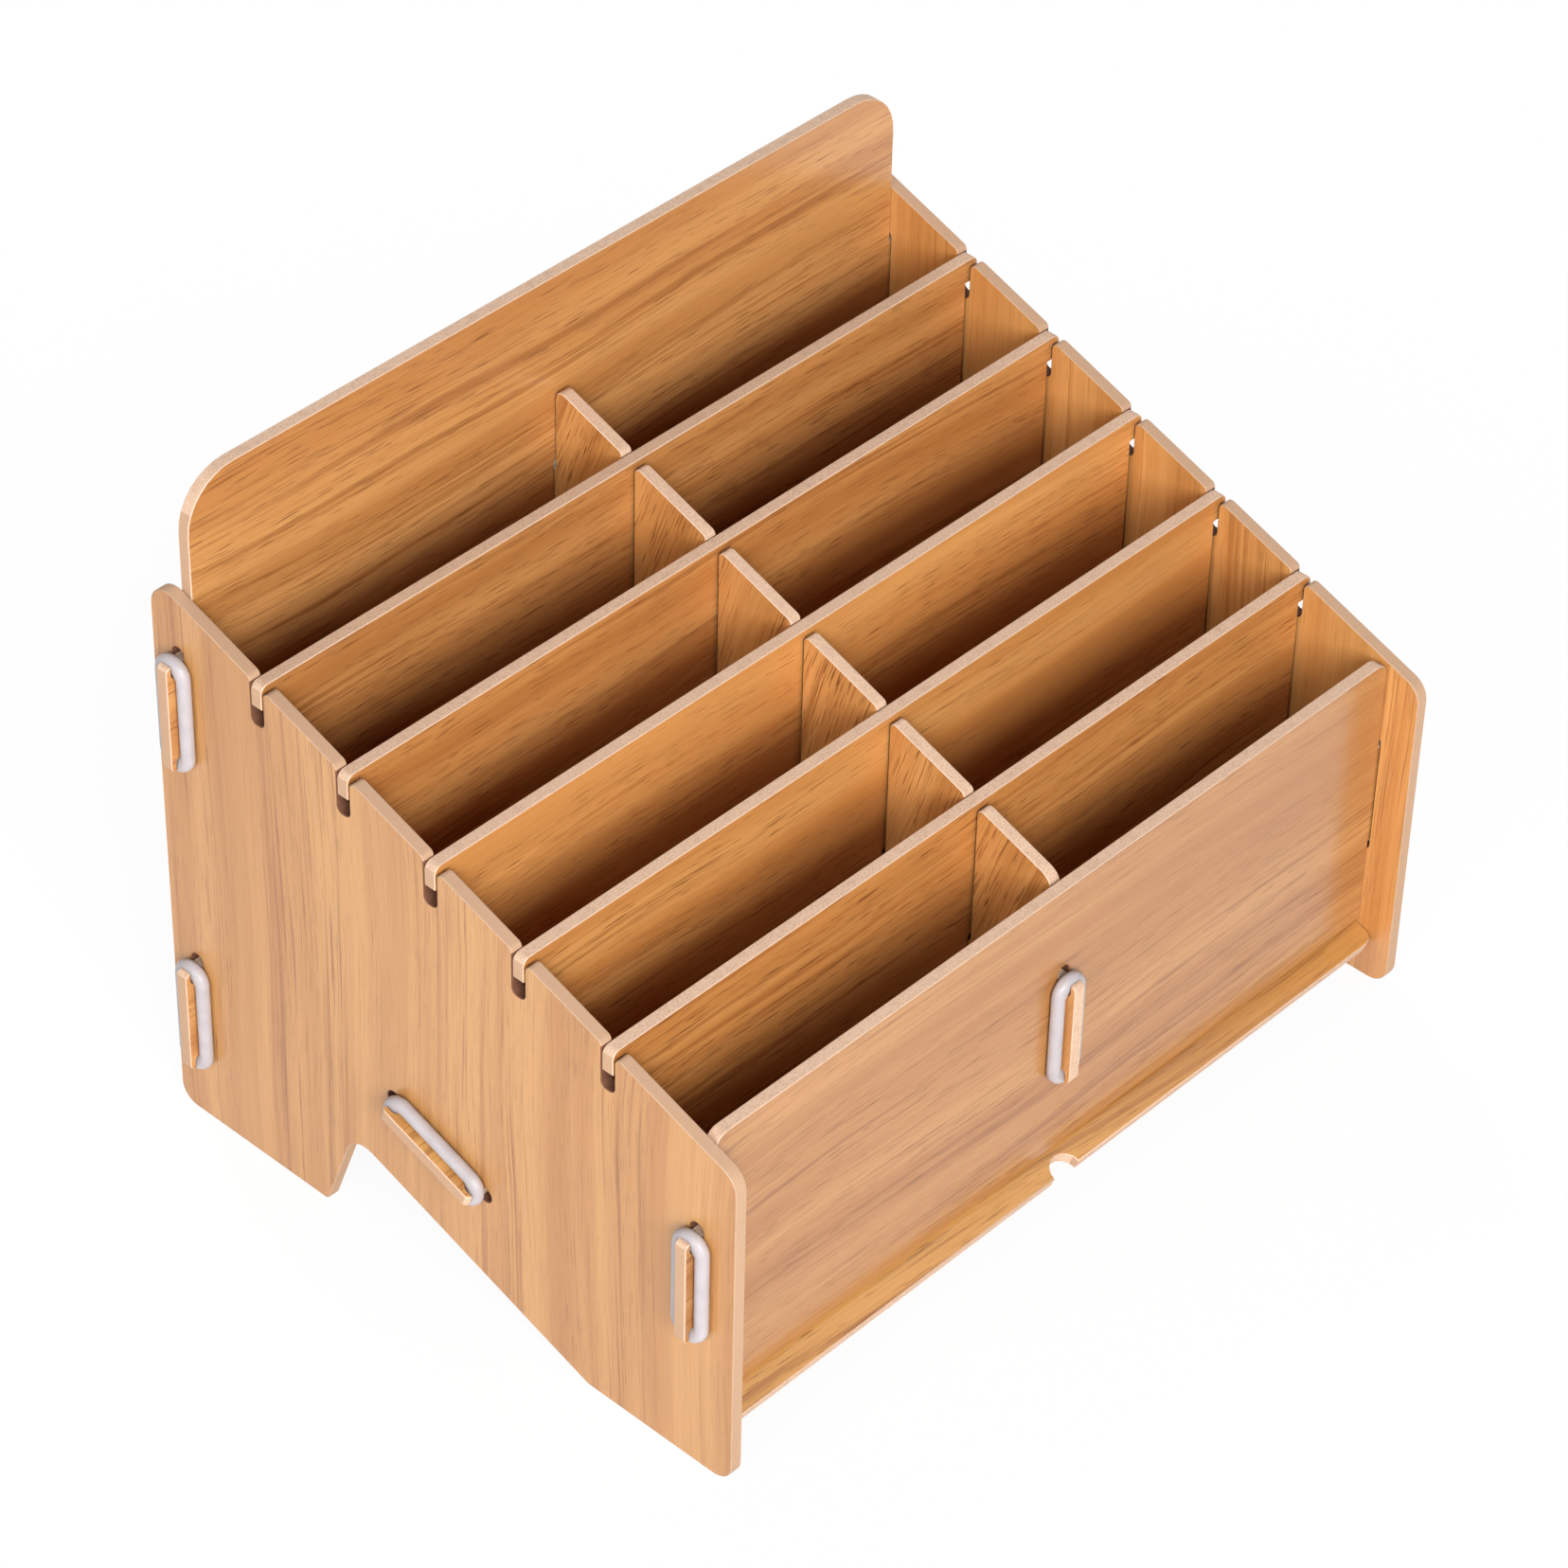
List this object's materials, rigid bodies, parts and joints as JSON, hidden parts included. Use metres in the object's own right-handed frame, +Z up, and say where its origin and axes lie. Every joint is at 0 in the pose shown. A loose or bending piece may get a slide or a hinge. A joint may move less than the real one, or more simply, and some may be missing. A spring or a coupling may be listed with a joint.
{
  "type": "desk sorter",
  "caption": "Slot-together wooden desk sorter with sloping rows of open compartments, a raised back and lift-out cross dividers, locked by soft rings.",
  "frame": {"origin": "on the desk, in the middle of the footprint", "axes": "+X across the sorter to the right as seen from the front, +Y to the back, +Z up; the front faces -Y"},
  "size_m": [0.2214, 0.1624, 0.166],
  "materials": {
    "side_laminate": "satin wood-grain laminate on fibreboard",
    "upright_laminate": "satin wood-grain laminate on fibreboard",
    "base_laminate": "satin wood-grain laminate on fibreboard",
    "ring_rubber": "translucent white soft rubber"
  },
  "bodies": {
    "frame": {"side_panel_left": "side_laminate", "side_panel_right": "side_laminate", "centre_divider": "side_laminate", "back_panel": "upright_laminate", "front_panel": "upright_laminate", "base_panel": "base_laminate", "ring_left_back_upper": "ring_rubber", "ring_left_back_lower": "ring_rubber", "ring_left_base": "ring_rubber", "ring_left_front": "ring_rubber", "ring_right_back_upper": "ring_rubber", "ring_right_back_lower": "ring_rubber", "ring_right_base": "ring_rubber", "ring_right_front": "ring_rubber", "ring_front_centre": "ring_rubber", "ring_back_centre": "ring_rubber"},
    "cross_divider_1": {"cross_divider_1": "upright_laminate"},
    "cross_divider_2": {"cross_divider_2": "upright_laminate"},
    "cross_divider_3": {"cross_divider_3": "upright_laminate"},
    "cross_divider_4": {"cross_divider_4": "upright_laminate"},
    "cross_divider_5": {"cross_divider_5": "upright_laminate"}
  },
  "joints": [
    {"name": "cross_divider_1_lift", "type": "slide", "parent": "frame", "child": "cross_divider_1", "axis": [0, 0, 1], "range_m": [0, 0.08]},
    {"name": "cross_divider_2_lift", "type": "slide", "parent": "frame", "child": "cross_divider_2", "axis": [0, 0, 1], "range_m": [0, 0.08]},
    {"name": "cross_divider_3_lift", "type": "slide", "parent": "frame", "child": "cross_divider_3", "axis": [0, 0, 1], "range_m": [0, 0.08]},
    {"name": "cross_divider_4_lift", "type": "slide", "parent": "frame", "child": "cross_divider_4", "axis": [0, 0, 1], "range_m": [0, 0.08]},
    {"name": "cross_divider_5_lift", "type": "slide", "parent": "frame", "child": "cross_divider_5", "axis": [0, 0, 1], "range_m": [0, 0.08]}
  ]
}
